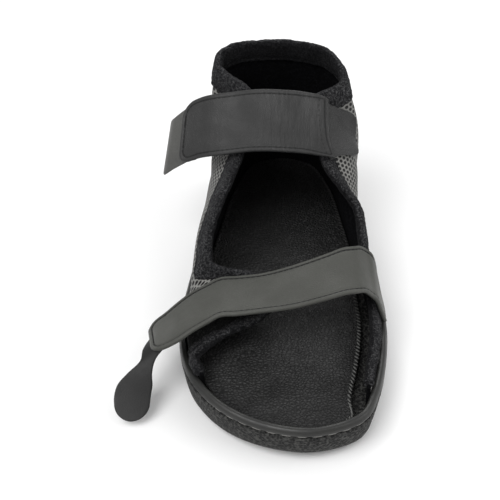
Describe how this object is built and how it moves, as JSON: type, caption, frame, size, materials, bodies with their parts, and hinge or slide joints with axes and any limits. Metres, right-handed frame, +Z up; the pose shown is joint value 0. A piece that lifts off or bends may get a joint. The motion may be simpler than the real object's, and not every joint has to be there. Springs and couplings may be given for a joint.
{
  "type": "post operative shoe",
  "caption": "Right post-operative shoe with a cup sole, open toe, mesh ankle quarters, fleece binding and two hook-and-loop straps.",
  "frame": {"origin": "on the floor under the middle of the heel, at the heel's flat rest face", "axes": "+Z up, +Y from the toe towards the heel, +X to the medial side, where the straps are anchored"},
  "size_m": [0.1575, 0.2742, 0.1326],
  "materials": {
    "sole": "matt, stippled",
    "insole": "pebble grain, satin",
    "mesh": "coarse spacer mesh",
    "binding": "brushed fleece",
    "counter": "smooth, satin",
    "tab": "fine grain, satin",
    "ankle_strap": "fine creases, satin",
    "front_strap": "fine grain, satin",
    "loop": "brushed loop pile",
    "tail": "fine grain, satin"
  },
  "bodies": {
    "root": {"sole_unit": "sole", "insole": "insole", "upper": "mesh", "edge_binding": "binding", "heel_counter": "counter", "ankle_strap_tab": "tab", "ankle_strap": "ankle_strap", "front_strap": "front_strap", "ankle_strap_lining": "loop", "front_strap_lining": "loop", "ankle_strap_tail": "tail", "front_strap_tail": "tail"}
  },
  "joints": []
}
